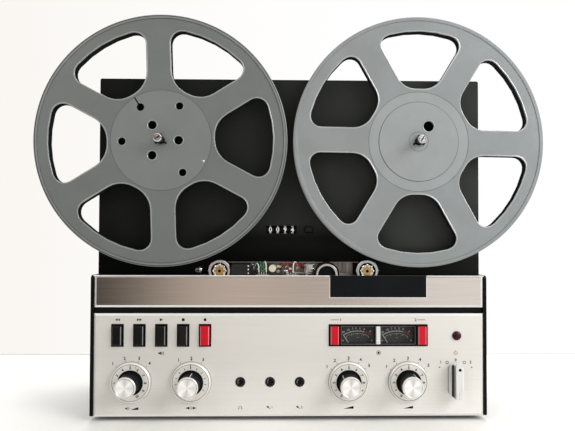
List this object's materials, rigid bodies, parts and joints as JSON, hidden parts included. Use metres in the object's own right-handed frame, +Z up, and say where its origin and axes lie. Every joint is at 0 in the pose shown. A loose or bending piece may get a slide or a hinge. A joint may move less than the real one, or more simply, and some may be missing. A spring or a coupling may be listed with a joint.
{
  "type": "reel-to-reel tape recorder",
  "caption": "Upright open-reel tape recorder: black deck with large reels above a brushed control panel with meters, keys, double knobs and jack sockets; reels and controls move.",
  "frame": {"origin": "on the floor under the middle of the machine's box, reels and knobs included", "axes": "+X to the viewer's right, +Y to the back, +Z up"},
  "size_m": [0.538, 0.2068, 0.425],
  "materials": {
    "case_black": "satin black paint",
    "deck_black": "satin black paint",
    "moulded_black": "fine matt moulding",
    "brushed_panel": "brushed along its length, bright bevels",
    "brushed_flap": "fine brushed, bright bevels",
    "cast_alloy": "as cast",
    "machined_alloy": "turned",
    "steel": "ground",
    "motor_shell": "painted",
    "core_steel": "laminated and varnished",
    "board_green": "lacquered board",
    "head_black": "gloss black",
    "wire_sleeve": "coloured sleeves",
    "brass": "turned",
    "belt_rubber": "smooth",
    "foot_rubber": "matt",
    "pinch_rubber": "ground",
    "clear_window": "clear",
    "socket_black": "gloss black",
    "lamp_red": "translucent red",
    "reel_grey_dark": "satin anodised",
    "reel_grey_light": "satin anodised",
    "key_black": "gloss black",
    "key_red": "gloss red",
    "knob_alloy": "turned cap, dark side",
    "ring_alloy": "satin",
    "needle_paint": "matt",
    "wheel_black": "matt, white numbers",
    "brake_alloy": "sheet with felt pads",
    "coil_brown": "varnished"
  },
  "bodies": {
    "chassis": {"case_shell": "case_black", "rear_panel": "case_black", "main_chassis": "cast_alloy", "deck_plate": "deck_black", "front_surround": "moulded_black", "control_panel": "brushed_panel", "rubber_feet": "foot_rubber", "reel_motors": "motor_shell", "capstan_motor": "motor_shell", "power_transformer": "core_steel", "circuit_boards": "board_green", "head_block": "cast_alloy", "tape_heads": "head_black", "head_wires": "wire_sleeve", "guide_posts": "brass", "counter_frame": "moulded_black", "counter_belt": "belt_rubber", "meter_housing": "moulded_black", "meter_windows": "clear_window", "jack_sockets": "socket_black", "rotary_controls": "cast_alloy", "key_block": "moulded_black", "lamp_lens": "lamp_red", "rear_connectors": "socket_black", "solenoids": "coil_brown"},
    "supply_reel": {"left_spindle": "steel", "left_reel": "reel_grey_dark"},
    "takeup_reel": {"right_spindle": "steel", "right_reel": "reel_grey_light"},
    "capstan": {"capstan_rotor": "steel"},
    "pinch_lever": {"pinch_arm": "machined_alloy"},
    "pinch_wheel": {"pinch_roller": "pinch_rubber"},
    "guide_left": {"left_guide_roller": "steel"},
    "guide_right": {"right_guide_roller": "steel"},
    "flap": {"head_cover_flap": "brushed_flap"},
    "brake": {"brake_bar": "brake_alloy"},
    "rewind_key_body": {"rewind_key": "key_black"},
    "forward_key_body": {"forward_key": "key_black"},
    "play_key_body": {"play_key": "key_black"},
    "stop_key_body": {"stop_key": "key_black"},
    "record_key_body": {"record_key": "key_red"},
    "record_select_left_body": {"record_select_left": "key_red"},
    "record_select_right_body": {"record_select_right": "key_red"},
    "volume_knob_body": {"volume_knob": "knob_alloy"},
    "balance_knob_body": {"balance_knob": "knob_alloy"},
    "level_knob_left_body": {"level_knob_left": "knob_alloy"},
    "level_knob_right_body": {"level_knob_right": "knob_alloy"},
    "monitor_ring_body": {"monitor_ring": "ring_alloy"},
    "mode_ring_body": {"mode_ring": "ring_alloy"},
    "input_ring_left_body": {"input_ring_left": "ring_alloy"},
    "input_ring_right_body": {"input_ring_right": "ring_alloy"},
    "power_knob_body": {"power_knob": "ring_alloy"},
    "needle_left_body": {"needle_left": "needle_paint"},
    "needle_right_body": {"needle_right": "needle_paint"},
    "counter_reset_body": {"counter_reset": "key_black"},
    "counter_pulley_body": {"counter_pulley": "brass"},
    "counter_wheel_units_body": {"counter_wheel_units": "wheel_black"},
    "counter_wheel_tens_body": {"counter_wheel_tens": "wheel_black"},
    "counter_wheel_hundreds_body": {"counter_wheel_hundreds": "wheel_black"},
    "counter_wheel_thousands_body": {"counter_wheel_thousands": "wheel_black"}
  },
  "joints": [
    {"name": "takeup_spin", "type": "hinge", "parent": "chassis", "child": "takeup_reel", "pos_m": [0.136, -0.0662, 0.292], "axis": [0, 1, 0], "continuous": true},
    {"name": "supply_spin", "type": "hinge", "parent": "chassis", "child": "supply_reel", "pos_m": [-0.136, -0.0662, 0.292], "axis": [0, 1, 0], "continuous": true},
    {"name": "capstan_spin", "type": "hinge", "parent": "chassis", "child": "capstan", "pos_m": [0.03841, -0.0662, 0.13043], "axis": [0, 1, 0], "continuous": true},
    {"name": "pinch_swing", "type": "hinge", "parent": "chassis", "child": "pinch_lever", "pos_m": [0.061, -0.0662, 0.146], "axis": [0, -1, 0], "range_deg": [0, 8], "stiffness_Nm_per_rad": 0.1, "springref_deg": -20.05},
    {"name": "pinch_spin", "type": "hinge", "parent": "pinch_lever", "child": "pinch_wheel", "pos_m": [0.0389, -0.0662, 0.1511], "axis": [0, 1, 0], "continuous": true},
    {"name": "guide_left_spin", "type": "hinge", "parent": "chassis", "child": "guide_left", "pos_m": [-0.074, -0.0662, 0.15475], "axis": [0, 1, 0], "continuous": true},
    {"name": "guide_right_spin", "type": "hinge", "parent": "chassis", "child": "guide_right", "pos_m": [0.0817, -0.0662, 0.15475], "axis": [0, 1, 0], "continuous": true},
    {"name": "flap_hinge", "type": "hinge", "parent": "chassis", "child": "flap", "pos_m": [0, -0.07495, 0.1199], "axis": [1, 0, 0], "range_deg": [0, 90]},
    {"name": "rewind_key_push", "type": "slide", "parent": "chassis", "child": "rewind_key_body", "axis": [0, 1, 0], "range_m": [0, 0.003], "stiffness_N_per_m": 300, "springref_m": -0.003},
    {"name": "forward_key_push", "type": "slide", "parent": "chassis", "child": "forward_key_body", "axis": [0, 1, 0], "range_m": [0, 0.003], "stiffness_N_per_m": 300, "springref_m": -0.003},
    {"name": "play_key_push", "type": "slide", "parent": "chassis", "child": "play_key_body", "axis": [0, 1, 0], "range_m": [0, 0.003], "stiffness_N_per_m": 300, "springref_m": -0.003},
    {"name": "stop_key_push", "type": "slide", "parent": "chassis", "child": "stop_key_body", "axis": [0, 1, 0], "range_m": [0, 0.003], "stiffness_N_per_m": 300, "springref_m": -0.003},
    {"name": "record_key_push", "type": "slide", "parent": "chassis", "child": "record_key_body", "axis": [0, 1, 0], "range_m": [0, 0.003], "stiffness_N_per_m": 300, "springref_m": -0.003},
    {"name": "record_select_left_push", "type": "slide", "parent": "chassis", "child": "record_select_left_body", "axis": [0, 1, 0], "range_m": [0, 0.0022], "stiffness_N_per_m": 300, "springref_m": -0.003},
    {"name": "record_select_right_push", "type": "slide", "parent": "chassis", "child": "record_select_right_body", "axis": [0, 1, 0], "range_m": [0, 0.0022], "stiffness_N_per_m": 300, "springref_m": -0.003},
    {"name": "volume_knob_turn", "type": "hinge", "parent": "chassis", "child": "volume_knob_body", "pos_m": [-0.1634, -0.0766, 0.0405], "axis": [0, 1, 0], "range_deg": [0, 300]},
    {"name": "balance_knob_turn", "type": "hinge", "parent": "chassis", "child": "balance_knob_body", "pos_m": [-0.1017, -0.0766, 0.0405], "axis": [0, 1, 0], "range_deg": [-150, 150]},
    {"name": "level_knob_left_turn", "type": "hinge", "parent": "chassis", "child": "level_knob_left_body", "pos_m": [0.0613, -0.0766, 0.0405], "axis": [0, 1, 0], "range_deg": [0, 300]},
    {"name": "level_knob_right_turn", "type": "hinge", "parent": "chassis", "child": "level_knob_right_body", "pos_m": [0.1233, -0.0766, 0.0405], "axis": [0, 1, 0], "range_deg": [0, 300]},
    {"name": "monitor_ring_turn", "type": "hinge", "parent": "chassis", "child": "monitor_ring_body", "pos_m": [-0.1634, -0.0766, 0.0405], "axis": [0, 1, 0], "range_deg": [-30, 60]},
    {"name": "mode_ring_turn", "type": "hinge", "parent": "chassis", "child": "mode_ring_body", "pos_m": [-0.1017, -0.0766, 0.0405], "axis": [0, 1, 0], "range_deg": [-30, 30]},
    {"name": "input_ring_left_turn", "type": "hinge", "parent": "chassis", "child": "input_ring_left_body", "pos_m": [0.0613, -0.0766, 0.0405], "axis": [0, 1, 0], "range_deg": [-56, 56]},
    {"name": "input_ring_right_turn", "type": "hinge", "parent": "chassis", "child": "input_ring_right_body", "pos_m": [0.1233, -0.0766, 0.0405], "axis": [0, 1, 0], "range_deg": [-56, 56]},
    {"name": "power_turn", "type": "hinge", "parent": "chassis", "child": "power_knob_body", "pos_m": [0.1733, -0.0766, 0.0425], "axis": [0, 1, 0], "range_deg": [-60, 60]},
    {"name": "needle_left_swing", "type": "hinge", "parent": "chassis", "child": "needle_left_body", "pos_m": [0.0716, -0.0766, 0.0645], "axis": [0, 1, 0], "range_deg": [0, 66], "stiffness_Nm_per_rad": 0.00002},
    {"name": "needle_right_swing", "type": "hinge", "parent": "chassis", "child": "needle_right_body", "pos_m": [0.113, -0.0766, 0.0645], "axis": [0, 1, 0], "range_deg": [0, 66], "stiffness_Nm_per_rad": 0.00002},
    {"name": "counter_reset_push", "type": "slide", "parent": "chassis", "child": "counter_reset_body", "axis": [0, 1, 0], "range_m": [0, 0.002], "stiffness_N_per_m": 200, "springref_m": -0.002},
    {"name": "brake_release", "type": "slide", "parent": "chassis", "child": "brake", "axis": [0, 0, -1], "range_m": [0, 0.0025], "stiffness_N_per_m": 2000, "springref_m": -0.004},
    {"name": "counter_pulley_spin", "type": "hinge", "parent": "chassis", "child": "counter_pulley_body", "pos_m": [-0.0092, -0.0431, 0.1985], "axis": [0, 1, 0], "continuous": true},
    {"name": "counter_units_spin", "type": "hinge", "parent": "chassis", "child": "counter_wheel_units_body", "pos_m": [-0.0092, -0.0431, 0.1985], "axis": [1, 0, 0], "continuous": true},
    {"name": "counter_tens_spin", "type": "hinge", "parent": "chassis", "child": "counter_wheel_tens_body", "pos_m": [-0.0092, -0.0431, 0.1985], "axis": [1, 0, 0], "continuous": true},
    {"name": "counter_hundreds_spin", "type": "hinge", "parent": "chassis", "child": "counter_wheel_hundreds_body", "pos_m": [-0.0092, -0.0431, 0.1985], "axis": [1, 0, 0], "continuous": true},
    {"name": "counter_thousands_spin", "type": "hinge", "parent": "chassis", "child": "counter_wheel_thousands_body", "pos_m": [-0.0092, -0.0431, 0.1985], "axis": [1, 0, 0], "continuous": true}
  ],
  "couplings": [
    {"joint": "counter_pulley_spin", "follows": "takeup_spin", "ratio": 1.5714},
    {"joint": "counter_units_spin", "follows": "takeup_spin", "ratio": 0.1},
    {"joint": "counter_tens_spin", "follows": "takeup_spin", "ratio": 0.01},
    {"joint": "counter_hundreds_spin", "follows": "takeup_spin", "ratio": 0.001},
    {"joint": "counter_thousands_spin", "follows": "takeup_spin", "ratio": 0.0001}
  ]
}
